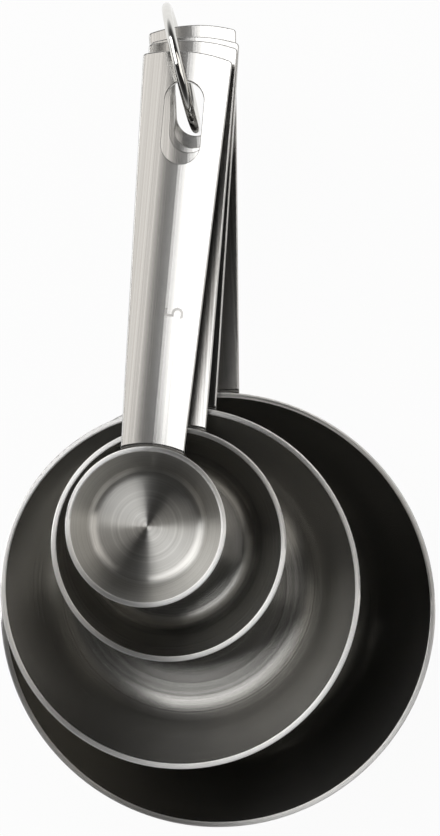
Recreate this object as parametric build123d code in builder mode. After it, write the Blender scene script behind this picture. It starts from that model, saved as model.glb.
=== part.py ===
import os
from dataclasses import dataclass
from math import atan, cos, radians, sin, sqrt

from build123d import *

# A set of four measuring spoons, nested and strung on one wire ring.
# The set lies on the flat floor of its largest cup. The origin is the centre of
# that floor's underside, +Y runs along the handles towards the ring, +Z is up.

# Sheet, strip and wire
wall = 0.9
rim_round = 0.3
strip = 1.2
wire = 1.8

# Cup section, as shares of the cup's own rim radius
floor_share = 0.79
corner_share = 0.18

# Handle strip, the same on every spoon but for its length
bowl_end_width = 11.6
tip_width = 16.3
dish_radius = 18.0
tip_radius = 21.6
tip_corner = 0.8
handle_drop = 0.15
flange_length = 6.0
weld_gap = 0.02
bend_round = 1.1
bend_inside = 0.5
edge_round = 0.2

# Slot for the ring
slot_width = 7.2
slot_length = 15.3
slot_from_tip = 5.5

# Ring: its room round the bottom handle's end, the turn of its plane from the
# set's length, and the lean of its top to the left
ring_room = 2.75
ring_turn_angle = 13.2
ring_lean_angle = 3.5
ring_play = 0.35

# How the spoons lie on each other. The lean tips a cup to the left, and the dip
# brings the handle's tip down
nest_gap = 0.35
dip_angle = 2.4
fifty_lean_angle = 4.0

# Cups: rim radius and depth inside, length of the longest handle outside the rim,
# how far each other handle's tip stops short of the one below, and turn of the
# handle about the upright. Shares of the room in the cup below give a cup's place
hundred_rim_radius = 39.85
hundred_depth = 25.1
hundred_reach = 68.9
hundred_turn_angle = 2.55

fifty_rim_radius = 32.35
fifty_depth = 19.05
fifty_setback = 2.71651
fifty_across_share = -0.49673
fifty_along_share = 0.33582
fifty_turn_angle = -1.65

tablespoon_rim_radius = 20.6
tablespoon_depth = 14.1
tablespoon_setback = 1.32405
tablespoon_across_share = -0.11819
tablespoon_along_share = 0.51008
tablespoon_turn_angle = -2.8

teaspoon_rim_radius = 13.75
teaspoon_depth = 10.55
teaspoon_setback = 2.4881
teaspoon_across_share = -0.42105
teaspoon_along_share = 0.32863
teaspoon_turn_angle = -5.1

# One overrun serves every cut
over = 5.0

os.makedirs("parts", exist_ok=True)


@dataclass
class Spoon:
    name: str
    rim_radius: float
    depth: float
    turn_angle: float
    dip_angle: float = 0.0
    lean_angle: float = 0.0
    reach: float = 0.0
    across: float = 0.0
    along: float = 0.0
    rim_height: float = 0.0

    @property
    def flare(self):
        # How far the wall moves out for each unit that it rises
        return self.rim_radius * (1 - floor_share) / self.depth

    @property
    def outer_radius(self):
        # At the rim, where the sloping wall is cut level
        return self.rim_radius + wall / cos(atan(self.flare))

    @property
    def tip(self):
        # Distance of the handle's tip from the cup's axis
        return self.outer_radius + self.reach

    @property
    def seat(self):
        # Plane of the rim: its Z is the cup's axis and its Y the handle's line
        place = Location((self.across, self.along, self.rim_height), (0, 0, self.turn_angle))
        return Plane(place * Location((0, 0, 0), (-self.dip_angle, -self.lean_angle, 0)))

    @property
    def section(self):
        # Upright section along the handle: X runs outwards and Y up the cup's axis
        return Plane(self.seat.origin, x_dir=self.seat.y_dir, z_dir=self.seat.x_dir)

    @property
    def axis(self):
        return Axis(self.seat.origin, self.seat.z_dir)

    def outside(self, height, gap=0.0):
        # Radius of the cup's outer wall at a height measured from the rim
        return self.outer_radius + height * self.flare + gap


def sag_of(radius, width):
    # Height of an arc of this radius over a chord of this width
    return radius - sqrt(radius**2 - (width / 2) ** 2)


# Height, from the rim, of the lowest line along the handle's dished upper face. At
# the cup the strip's two long edges stand just under the rim
trough = -handle_drop - sag_of(dish_radius, bowl_end_width)


def room_in(lower, upper):
    # How far the upper cup's floor can move about inside the lower cup's rim
    return lower.rim_radius - floor_share * upper.rim_radius


def lined_up_reach(upper, lower, setback):
    # The handles' tips lie together, so that one ring goes through all the slots
    tip_along = lower.along + lower.tip * lower.seat.y_dir.Y - setback
    return (tip_along - upper.along) / upper.seat.y_dir.Y - upper.outer_radius


def nested_height(upper, lower):
    # The upper cup's wall clears the inner edge of the rim round it, on the side
    # where the cups crowd, and its handle clears the rim that it crosses
    shift = sqrt((upper.across - lower.across) ** 2 + (upper.along - lower.along) ** 2)
    side = abs(upper.across - lower.across) / shift
    end = abs(upper.along - lower.along) / shift
    dip = radians(upper.lean_angle * side + (upper.dip_angle - lower.dip_angle) * end)
    room = lower.rim_radius - shift - nest_gap
    down = (upper.outer_radius * cos(dip) - room) / (upper.flare * cos(dip) + sin(dip))
    in_rim = upper.outside(-down) * sin(dip) + down * cos(dip)
    span = bowl_end_width / 2 + abs(upper.across - lower.across)
    on_rim = strip - trough + nest_gap + span * sin(radians(lower.lean_angle))
    return lower.rim_height + max(in_rim, on_rim)


cup_100ml = Spoon("100ml", hundred_rim_radius, hundred_depth, hundred_turn_angle)
cup_50ml = Spoon("50ml", fifty_rim_radius, fifty_depth, fifty_turn_angle, dip_angle, fifty_lean_angle)
cup_15ml = Spoon("15ml", tablespoon_rim_radius, tablespoon_depth, tablespoon_turn_angle, dip_angle)
cup_5ml = Spoon("5ml", teaspoon_rim_radius, teaspoon_depth, teaspoon_turn_angle, dip_angle)
spoons = [cup_100ml, cup_50ml, cup_15ml, cup_5ml]
across_shares = [fifty_across_share, tablespoon_across_share, teaspoon_across_share]
along_shares = [fifty_along_share, tablespoon_along_share, teaspoon_along_share]
setbacks = [fifty_setback, tablespoon_setback, teaspoon_setback]

cup_100ml.reach = hundred_reach
cup_100ml.rim_height = hundred_depth + wall
for lower, upper, across_share, along_share, setback in zip(
    spoons, spoons[1:], across_shares, along_shares, setbacks
):
    upper.across = lower.across + across_share * room_in(lower, upper)
    upper.along = lower.along + along_share * room_in(lower, upper)
    upper.reach = lined_up_reach(upper, lower, setback)
    upper.rim_height = nested_height(upper, lower)


def is_beyond(edge, seat, distance):
    # True for an edge that lies further along the handle than this
    return seat.to_local_coords(edge @ 0.5).Y > distance


def make_bowl(spoon):
    # Spun cup: flat floor, round corner, straight flared wall, softened rim
    corner = corner_share * spoon.rim_radius
    under = -spoon.depth - wall
    with BuildPart() as bowl:
        with BuildSketch(spoon.section) as profile:
            with BuildLine():
                Polyline(
                    (0, -spoon.depth),
                    (floor_share * spoon.rim_radius, -spoon.depth),
                    (spoon.rim_radius, 0),
                    (spoon.outer_radius, 0),
                    (spoon.outside(under), under),
                    (0, under),
                    close=True,
                )
            make_face()
            rim = profile.vertices().group_by(Axis.Y)[-1]
            fillet(rim, rim_round)
            inner_corner = profile.vertices().group_by(Axis.Y)[1].sort_by(Axis.X)[-1]
            fillet(inner_corner, corner)
            outer_corner = profile.vertices().group_by(Axis.Y)[0].sort_by(Axis.X)[-1]
            fillet(outer_corner, corner + wall)
        revolve(axis=spoon.axis)
    bowl.part.label = "bowl_" + spoon.name
    return bowl.part


def make_handle(spoon):
    # Pressed strip: dished along its length, wider towards its round tip, slotted
    # for the ring, and turned down at the cup into a flange welded to the wall
    seat = spoon.seat
    bottom = seat.offset(-flange_length - over)
    height = flange_length + over + over
    half_end = bowl_end_width / 2
    half_tip = tip_width / 2
    tip_edge = spoon.tip - sag_of(tip_radius, tip_width)
    across = Plane(seat.origin, x_dir=-seat.x_dir, z_dir=seat.y_dir)

    with BuildPart() as handle:
        # Dished strip, and the flange round the cup before it is trimmed
        with BuildSketch(across):
            with Locations((0, trough + dish_radius)):
                Circle(dish_radius + strip)
                Circle(dish_radius, mode=Mode.SUBTRACT)
            with Locations((0, trough)):
                Rectangle(tip_width + over, dish_radius, mode=Mode.INTERSECT)
        extrude(amount=spoon.tip + over)
        with BuildSketch(spoon.section):
            with BuildLine():
                Polyline(
                    (spoon.outside(-flange_length), -flange_length),
                    (spoon.outside(-flange_length, strip), -flange_length),
                    (spoon.outside(-handle_drop, strip), -handle_drop),
                    (spoon.outside(-handle_drop), -handle_drop),
                    close=True,
                )
            make_face()
        revolve(axis=spoon.axis)

        # Outline seen from above, and the dish as the limit above
        with BuildSketch(bottom) as outline:
            with BuildLine():
                Polyline(
                    (-half_tip, tip_edge),
                    (-half_end, spoon.outer_radius),
                    (-half_end, 0),
                    (half_end, 0),
                    (half_end, spoon.outer_radius),
                    (half_tip, tip_edge),
                )
                ThreePointArc((half_tip, tip_edge), (0, spoon.tip), (-half_tip, tip_edge))
            make_face()
            fillet(outline.vertices().group_by(Axis.Y)[-1], tip_corner)
        extrude(amount=height, mode=Mode.INTERSECT)
        with BuildSketch(across):
            with Locations((0, trough + dish_radius)):
                Circle(dish_radius)
        extrude(amount=spoon.tip + over, mode=Mode.SUBTRACT)

        # Room for the cup's wall
        with BuildSketch(spoon.section):
            with BuildLine():
                Polyline(
                    (0, -flange_length - over),
                    (spoon.outside(-flange_length - over, weld_gap), -flange_length - over),
                    (spoon.outside(over, weld_gap), over),
                    (0, over),
                    close=True,
                )
            make_face()
        revolve(axis=spoon.axis, mode=Mode.SUBTRACT)

        # Slot
        with BuildSketch(bottom):
            with Locations((0, spoon.tip - slot_from_tip - slot_length / 2)):
                SlotOverall(slot_length, slot_width, rotation=90)
        extrude(amount=height, mode=Mode.SUBTRACT)

        # Bend between strip and flange, then the softened upper edges
        inside_bend = seat.from_local_coords((0, spoon.outside(trough - strip, strip), trough - strip))
        fillet(handle.edges().sort_by_distance(inside_bend)[0], bend_inside)
        outside_bend = seat.from_local_coords((0, spoon.outside(trough, weld_gap), trough))
        fillet(handle.edges().sort_by_distance(outside_bend)[0], bend_round)
        middle = seat.from_local_coords((0, spoon.outer_radius + spoon.reach / 2, trough))
        upper_edges = handle.faces().sort_by_distance(middle)[0].edges()
        fillet([edge for edge in upper_edges if is_beyond(edge, seat, spoon.outer_radius + over)], edge_round)
    handle.part.label = "handle_" + spoon.name
    return handle.part


def make_ring(top_spoon, bottom_spoon):
    # Wire ring, hanging on the bridge between the top handle's slot and its tip.
    # Lower down it stands in the far end of the bottom handle's slot, and its
    # inside goes round that handle's end with some room
    held = slot_from_tip + slot_length - ring_play - wire
    ring_radius = (held + ring_room + wire) / 2
    run = Plane.XY.rotated((0, 0, ring_turn_angle)).y_dir
    upright = Vector(0, 0, 1).rotate(Axis((0, 0, 0), run), -ring_lean_angle)
    low = bottom_spoon.seat
    slot_end = bottom_spoon.tip - slot_from_tip - slot_length + ring_play
    far_side = low.from_local_coords((0, slot_end, 0))
    centre = far_side + run * (ring_radius + wire / 2)
    high = top_spoon.seat
    tip = high.from_local_coords((0, top_spoon.tip, trough))
    slot_edge = high.from_local_coords((0, top_spoon.tip - slot_from_tip, trough))
    half_bridge = max(abs((tip - centre).dot(run)), abs((slot_edge - centre).dot(run)))
    room = ring_radius - wire / 2 - ring_play
    below = sqrt(room**2 - half_bridge**2)
    middle = Vector(centre.X, centre.Y, slot_edge.Z - below)
    with BuildPart(Plane(middle, x_dir=run, z_dir=run.cross(upright))) as ring:
        Torus(ring_radius, wire / 2)
    ring.part.label = "ring"
    return ring.part


pieces = [make_ring(cup_5ml, cup_100ml)]
for spoon in spoons:
    pieces += [make_bowl(spoon), make_handle(spoon)]
for piece in pieces:
    export_step(piece, "parts/" + piece.label + ".step")
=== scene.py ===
from math import radians

import bpy
from mathutils import Matrix, Vector


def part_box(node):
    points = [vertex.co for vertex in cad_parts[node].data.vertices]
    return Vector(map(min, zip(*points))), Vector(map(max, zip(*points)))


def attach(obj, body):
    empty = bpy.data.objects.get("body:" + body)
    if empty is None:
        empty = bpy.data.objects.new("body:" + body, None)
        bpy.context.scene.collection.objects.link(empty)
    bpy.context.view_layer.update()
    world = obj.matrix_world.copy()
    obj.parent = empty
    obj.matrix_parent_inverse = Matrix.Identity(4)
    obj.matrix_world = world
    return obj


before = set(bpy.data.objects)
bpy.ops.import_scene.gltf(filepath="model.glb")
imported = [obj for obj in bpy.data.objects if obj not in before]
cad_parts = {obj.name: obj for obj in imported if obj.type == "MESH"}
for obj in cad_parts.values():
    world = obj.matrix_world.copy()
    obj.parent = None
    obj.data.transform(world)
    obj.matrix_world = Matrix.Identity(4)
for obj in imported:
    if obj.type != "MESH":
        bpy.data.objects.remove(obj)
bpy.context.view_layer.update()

mm = 0.001

# Camera
# The set was photographed lying on a white table, from straight above, with the
# handles pointing up in the picture and the lens about 400 mm above the top cup.
photo_scale = 0.1806 * mm
photo_height = 836
view_centre = Vector((0.37 * mm, 35.88 * mm, 0))
lens_above_top_cup = 400 * mm
sensor = 36.0

top_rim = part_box("bowl_5ml")[1].z
camera_data = bpy.data.cameras.new("camera")
camera_data.sensor_width = sensor
camera_data.lens = sensor * lens_above_top_cup / (photo_height * photo_scale)
camera = bpy.data.objects.new("camera", camera_data)
camera.location = view_centre + Vector((0, 0, top_rim + lens_above_top_cup))
bpy.context.scene.collection.objects.link(camera)
bpy.context.scene.camera = camera

# Table and studio
# A plain white table under a dim ceiling, with a large soft panel on each side:
# the left one bright and neutral, the right one weaker and a little warm.
table_size = 6.0
table_white = (0.86, 0.86, 0.86, 1)
table_glow = 0.95
paper_white = (1, 1, 1, 1)
panel_distance = 0.75
# How grey the room is at each height, from level with the table to straight above
room_greys = ((0.0, 0.9), (0.2, 0.4), (0.45, 0.06), (0.75, 0.02))

bpy.context.scene.view_settings.view_transform = "Standard"


def white_to_the_eye(tree):
    # True for what is seen straight, in metal or through glass
    path = tree.nodes.new("ShaderNodeLightPath")
    seen = tree.nodes.new("ShaderNodeMath")
    seen.operation = "MAXIMUM"
    tree.links.new(path.outputs["Is Camera Ray"], seen.inputs[0])
    tree.links.new(path.outputs["Is Glossy Ray"], seen.inputs[1])
    also = tree.nodes.new("ShaderNodeMath")
    also.operation = "MAXIMUM"
    tree.links.new(seen.outputs[0], also.inputs[0])
    tree.links.new(path.outputs["Is Transmission Ray"], also.inputs[1])
    return also.outputs[0]


bpy.ops.object.select_all(action="DESELECT")
bpy.ops.mesh.primitive_plane_add(size=table_size, location=(0, 0, 0))
table = bpy.context.object
table.name = "table"
table_paint = bpy.data.materials.new("white_table")
table_paint.use_nodes = True
tree = table_paint.node_tree
tree.nodes.clear()
matt = tree.nodes.new("ShaderNodeBsdfDiffuse")
matt.inputs["Color"].default_value = table_white
glow = tree.nodes.new("ShaderNodeEmission")
glow.inputs["Color"].default_value = paper_white
amount = tree.nodes.new("ShaderNodeMath")
amount.operation = "MULTIPLY"
amount.inputs[1].default_value = table_glow
tree.links.new(white_to_the_eye(tree), amount.inputs[0])
both = tree.nodes.new("ShaderNodeMixShader")
tree.links.new(amount.outputs[0], both.inputs["Fac"])
tree.links.new(matt.outputs[0], both.inputs[1])
tree.links.new(glow.outputs[0], both.inputs[2])
out = tree.nodes.new("ShaderNodeOutputMaterial")
tree.links.new(both.outputs[0], out.inputs["Surface"])
table.data.materials.append(table_paint)

world = bpy.data.worlds.new("studio")
bpy.context.scene.world = world
world.use_nodes = True
tree = world.node_tree
tree.nodes.clear()
direction = tree.nodes.new("ShaderNodeTexCoord")
height = tree.nodes.new("ShaderNodeSeparateXYZ")
tree.links.new(direction.outputs["Generated"], height.inputs[0])
shade = tree.nodes.new("ShaderNodeValToRGB")
ramp = shade.color_ramp
while len(ramp.elements) < len(room_greys):
    ramp.elements.new(1)
for step, (place, grey) in zip(ramp.elements, room_greys):
    step.position = place
    step.color = (grey, grey, grey, 1)
tree.links.new(height.outputs["Z"], shade.inputs["Fac"])
room = tree.nodes.new("ShaderNodeBackground")
tree.links.new(shade.outputs["Color"], room.inputs["Color"])
backdrop = tree.nodes.new("ShaderNodeBackground")
backdrop.inputs["Color"].default_value = paper_white
path = tree.nodes.new("ShaderNodeLightPath")
both = tree.nodes.new("ShaderNodeMixShader")
tree.links.new(path.outputs["Is Camera Ray"], both.inputs["Fac"])
tree.links.new(room.outputs[0], both.inputs[1])
tree.links.new(backdrop.outputs[0], both.inputs[2])
out = tree.nodes.new("ShaderNodeOutputWorld")
tree.links.new(both.outputs[0], out.inputs["Surface"])


def soft_panel(name, lean, beyond, width, length, power, colour):
    # A panel that faces the set, leaning this many degrees to the side and beyond
    # the handles' ends
    data = bpy.data.lights.new(name, "AREA")
    data.shape = "RECTANGLE"
    data.size = width
    data.size_y = length
    data.energy = power
    data.color = colour
    panel = bpy.data.objects.new(name, data)
    turn = Matrix.Rotation(radians(-beyond), 4, "X") @ Matrix.Rotation(radians(lean), 4, "Y")
    panel.matrix_world = Matrix.Translation(view_centre) @ turn @ Matrix.Translation((0, 0, panel_distance))
    panel.visible_camera = False
    bpy.context.scene.collection.objects.link(panel)


soft_panel("left_panel", lean=-30, beyond=25, width=0.72, length=0.6, power=3.8, colour=(1, 1, 1))
soft_panel("right_panel", lean=38, beyond=12, width=0.6, length=0.5, power=1.3, colour=(1, 0.97, 0.93))

# Spun cups
# Each cup is spun from stainless sheet over a former and finished with an abrasive
# while it turns, which leaves fine marks round its axis. The rim is ground level, which
# makes it rougher, and its band is painted near white as a painted highlight.
cup_pitch = {"100ml": 0.0, "50ml": 2.4, "15ml": 2.4, "5ml": 2.4}
cup_lean = {"100ml": 0.0, "50ml": 4.0, "15ml": 0.0, "5ml": 0.0}
handle_turn = {"100ml": 2.55, "50ml": -1.65, "15ml": -2.8, "5ml": -5.1}
cup_steel_dark = (0.30, 0.29, 0.27, 1)
cup_steel_light = (0.80, 0.79, 0.76, 1)
cup_roughness = {"100ml": (0.14, 0.22), "50ml": (0.18, 0.30), "15ml": (0.15, 0.23), "5ml": (0.25, 0.36)}
cup_grain = 1.0
fine_mark = 0.42 * mm
broad_mark = 1.1 * mm
mark_depth = 0.014 * mm
fine_detail = 2
broad_detail = 3
# Depth of the rim band that is rougher from grinding and painted near white as a painted highlight
ground_and_highlight_rim = 0.33 * mm
rim_highlight_colour = (0.97, 0.96, 0.94, 1)
rim_roughness = 0.5


def seat_of(name):
    # Frame of a spoon: its origin in the middle of the rim, Z up the cup's axis
    # and Y along the handle
    low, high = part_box("bowl_" + name)
    turn = Matrix.Rotation(radians(handle_turn[name]), 4, "Z")
    pitch = Matrix.Rotation(radians(-cup_pitch[name]), 4, "X")
    lean = Matrix.Rotation(radians(-cup_lean[name]), 4, "Y")
    turned = turn @ pitch @ lean
    up = turned.to_3x3() @ Vector((0, 0, 1))
    radius = (high.x - low.x) / 2
    rise = radius * (up.x**2 + up.y**2) ** 0.5
    middle = Vector(((low.x + high.x) / 2, (low.y + high.y) / 2, high.z - rise))
    return Matrix.Translation(middle) @ turned


def in_seat(tree, seat):
    # The point on the metal, measured from the spoon's own seat
    place = tree.nodes.new("ShaderNodeTexCoord")
    turn = tree.nodes.new("ShaderNodeMapping")
    turn.vector_type = "TEXTURE"
    turn.inputs["Location"].default_value = seat.to_translation()
    turn.inputs["Rotation"].default_value = seat.to_euler("XYZ")
    tree.links.new(place.outputs["Object"], turn.inputs["Vector"])
    return turn.outputs["Vector"]


def value(tree, operation, first, second=None):
    node = tree.nodes.new("ShaderNodeMath")
    node.operation = operation
    for socket, given in zip(node.inputs, (first, second)):
        if isinstance(given, (int, float)):
            socket.default_value = given
        elif given is not None:
            tree.links.new(given, socket)
    return node.outputs[0]


def mean_of(tree, first, second):
    return value(tree, "MULTIPLY", value(tree, "ADD", first, second), 0.5)


def lines_across(tree, along, spacing, detail):
    # Random light and dark lines, spaced by this length
    noise = tree.nodes.new("ShaderNodeTexNoise")
    noise.noise_dimensions = "1D"
    noise.inputs["Scale"].default_value = 1 / spacing
    noise.inputs["Detail"].default_value = detail
    tree.links.new(along, noise.inputs["W"])
    return noise.outputs["Fac"]


def metal(name, dark, light, grain):
    # Bare metal between these two colours. Also gives the socket that mixes them
    material = bpy.data.materials.new(name)
    material.use_nodes = True
    shader = material.node_tree.nodes["Principled BSDF"]
    shader.inputs["Metallic"].default_value = 1.0
    shader.inputs["Anisotropic"].default_value = grain
    blend = material.node_tree.nodes.new("ShaderNodeMix")
    blend.data_type = "RGBA"
    blend.inputs["A"].default_value = dark
    blend.inputs["B"].default_value = light
    material.node_tree.links.new(blend.outputs["Result"], shader.inputs["Base Color"])
    return material, shader, blend.inputs["Factor"]


def rough_between(tree, shader, fac, low, high):
    # The marks are rougher where they are lighter
    spread = tree.nodes.new("ShaderNodeMapRange")
    spread.inputs["To Min"].default_value = low
    spread.inputs["To Max"].default_value = high
    tree.links.new(fac, spread.inputs["Value"])
    tree.links.new(spread.outputs["Result"], shader.inputs["Roughness"])
    return spread.outputs["Result"]


def scratched(tree, shader, marks, depth):
    # Marks cut into the surface, this deep
    bump = tree.nodes.new("ShaderNodeBump")
    bump.inputs["Strength"].default_value = 1.0
    bump.inputs["Distance"].default_value = depth
    tree.links.new(marks, bump.inputs["Height"])
    tree.links.new(bump.outputs["Normal"], shader.inputs["Normal"])


def facing(tree, shader, vector, seat=None):
    # Direction in which the marks spread the light, as it stands when posed
    if seat is not None:
        back = tree.nodes.new("ShaderNodeMapping")
        back.vector_type = "VECTOR"
        back.inputs["Rotation"].default_value = seat.to_euler("XYZ")
        tree.links.new(vector, back.inputs["Vector"])
        vector = back.outputs["Vector"]
    turn = tree.nodes.new("ShaderNodeVectorTransform")
    turn.vector_type = "VECTOR"
    turn.convert_from = "OBJECT"
    turn.convert_to = "WORLD"
    if isinstance(vector, Vector):
        turn.inputs[0].default_value = vector
    else:
        tree.links.new(vector, turn.inputs[0])
    tree.links.new(turn.outputs[0], shader.inputs["Tangent"])


def spun_steel(size):
    seat = seat_of(size)
    material, shader, fac = metal("spun_steel_" + size, cup_steel_dark, cup_steel_light, cup_grain)
    tree = material.node_tree
    split = tree.nodes.new("ShaderNodeSeparateXYZ")
    tree.links.new(in_seat(tree, seat), split.inputs[0])
    flat = tree.nodes.new("ShaderNodeCombineXYZ")
    tree.links.new(split.outputs["X"], flat.inputs["X"])
    tree.links.new(split.outputs["Y"], flat.inputs["Y"])
    length = tree.nodes.new("ShaderNodeVectorMath")
    length.operation = "LENGTH"
    tree.links.new(flat.outputs[0], length.inputs[0])
    out_and_up = value(tree, "ADD", length.outputs["Value"], split.outputs["Z"])
    fine = lines_across(tree, out_and_up, fine_mark, fine_detail)
    broad = lines_across(tree, out_and_up, broad_mark, broad_detail)
    marks = mean_of(tree, fine, broad)
    tree.links.new(marks, fac)
    rough = rough_between(tree, shader, marks, *cup_roughness[size])
    on_rim = value(tree, "GREATER_THAN", split.outputs["Z"], -ground_and_highlight_rim)
    rougher = value(tree, "MAXIMUM", rough, value(tree, "MULTIPLY", on_rim, rim_roughness))
    tree.links.new(rougher, shader.inputs["Roughness"])
    # Painted highlight: the colour of the rim band is mixed to near white
    painted_rim_highlight = tree.nodes.new("ShaderNodeMix")
    painted_rim_highlight.data_type = "RGBA"
    tree.links.new(on_rim, painted_rim_highlight.inputs["Factor"])
    tree.links.new(shader.inputs["Base Color"].links[0].from_socket, painted_rim_highlight.inputs["A"])
    painted_rim_highlight.inputs["B"].default_value = rim_highlight_colour
    tree.links.new(painted_rim_highlight.outputs["Result"], shader.inputs["Base Color"])
    scratched(tree, shader, fine, mark_depth)
    facing(tree, shader, flat.outputs[0], seat)
    return material


def paint(node, material):
    node.data.materials.clear()
    node.data.materials.append(material)


for name in cup_pitch:
    paint(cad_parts["bowl_" + name], spun_steel(name))

# Handles
# Each handle is blanked from stainless strip, brushed along its length, pressed
# to a dished section and bent down at the cup, where it is welded on.
handle_steel_dark = (0.24, 0.235, 0.225, 1)
handle_steel_light = (0.74, 0.73, 0.715, 1)
handle_roughness = (0.18, 0.26)
handle_grain = 0.6
brush_line = 0.4 * mm
brush_band = 1.0 * mm
brush_depth = 0.008 * mm


def brushed_steel(name, seat):
    material, shader, fac = metal(name, handle_steel_dark, handle_steel_light, handle_grain)
    tree = material.node_tree
    split = tree.nodes.new("ShaderNodeSeparateXYZ")
    tree.links.new(in_seat(tree, seat), split.inputs[0])
    fine = lines_across(tree, split.outputs["X"], brush_line, fine_detail)
    broad = lines_across(tree, split.outputs["X"], brush_band, broad_detail)
    marks = mean_of(tree, fine, broad)
    tree.links.new(marks, fac)
    rough_between(tree, shader, marks, *handle_roughness)
    scratched(tree, shader, fine, brush_depth)
    facing(tree, shader, seat.to_3x3() @ Vector((1, 0, 0)))
    return material


for name in handle_turn:
    paint(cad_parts["handle_" + name], brushed_steel("brushed_steel_" + name, seat_of(name)))

# Numbers
# What each cup holds, in plain numerals stamped across the handle between the cup
# and the slot.
numeral_size = 5.0 * mm
numeral_from_rim = 24.5 * mm
numeral_across = 1.8 * mm
numeral_rise = 0.015 * mm
numeral_depth = 0.06 * mm
above_handle = 3 * mm
stamped_dark = (0.36, 0.35, 0.34, 1)
stamped_light = (0.56, 0.55, 0.53, 1)
stamped_roughness = (0.35, 0.5)

stamped, shader, fac = metal("stamped_steel", stamped_dark, stamped_light, 0.0)
tree = stamped.node_tree
grit = tree.nodes.new("ShaderNodeTexNoise")
grit.inputs["Scale"].default_value = 1 / brush_line
place = tree.nodes.new("ShaderNodeTexCoord")
tree.links.new(place.outputs["Object"], grit.inputs["Vector"])
tree.links.new(grit.outputs["Fac"], fac)
rough_between(tree, shader, grit.outputs["Fac"], *stamped_roughness)

for name in handle_turn:
    seat = seat_of(name)
    low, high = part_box("bowl_" + name)
    from_axis = (high.x - low.x) / 2 + numeral_from_rim
    bpy.ops.object.select_all(action="DESELECT")
    bpy.ops.object.text_add()
    numeral = bpy.context.object
    numeral.name = "number_" + name
    numeral.data.body = name.removesuffix("ml")
    numeral.data.size = numeral_size
    numeral.data.align_x = "CENTER"
    numeral.data.align_y = "CENTER"
    bpy.ops.object.convert(target="MESH")
    numeral = bpy.context.object
    quarter = Matrix.Rotation(radians(90), 4, "Z")
    numeral.matrix_world = seat @ Matrix.Translation((numeral_across, from_axis, above_handle)) @ quarter
    bpy.ops.object.transform_apply(location=True, rotation=True, scale=True)
    laid = numeral.modifiers.new("laid_on_handle", "SHRINKWRAP")
    laid.wrap_method = "PROJECT"
    laid.use_project_z = True
    laid.use_negative_direction = True
    laid.use_positive_direction = False
    laid.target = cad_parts["handle_" + name]
    laid.offset = numeral_rise
    bpy.ops.object.modifier_apply(modifier=laid.name)
    thick = numeral.modifiers.new("thickness", "SOLIDIFY")
    thick.thickness = numeral_depth
    thick.offset = -1
    bpy.ops.object.modifier_apply(modifier=thick.name)
    paint(numeral, stamped)
    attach(numeral, "spoon_" + name)

# Ring
# Round steel wire, bent to a ring, closed and plated bright. Drawing it left faint
# marks along the wire.
plate_dark = (0.70, 0.69, 0.66, 1)
plate_light = (0.84, 0.83, 0.80, 1)
plate_roughness = (0.05, 0.11)
draw_mark = 1.6 * mm

ring_plate, shader, fac = metal("bright_plate", plate_dark, plate_light, 0.0)
tree = ring_plate.node_tree
drawn = tree.nodes.new("ShaderNodeTexNoise")
drawn.inputs["Scale"].default_value = 1 / draw_mark
drawn.inputs["Detail"].default_value = broad_detail
place = tree.nodes.new("ShaderNodeTexCoord")
tree.links.new(place.outputs["Object"], drawn.inputs["Vector"])
tree.links.new(drawn.outputs["Fac"], fac)
rough_between(tree, shader, drawn.outputs["Fac"], *plate_roughness)
paint(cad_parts["ring"], ring_plate)
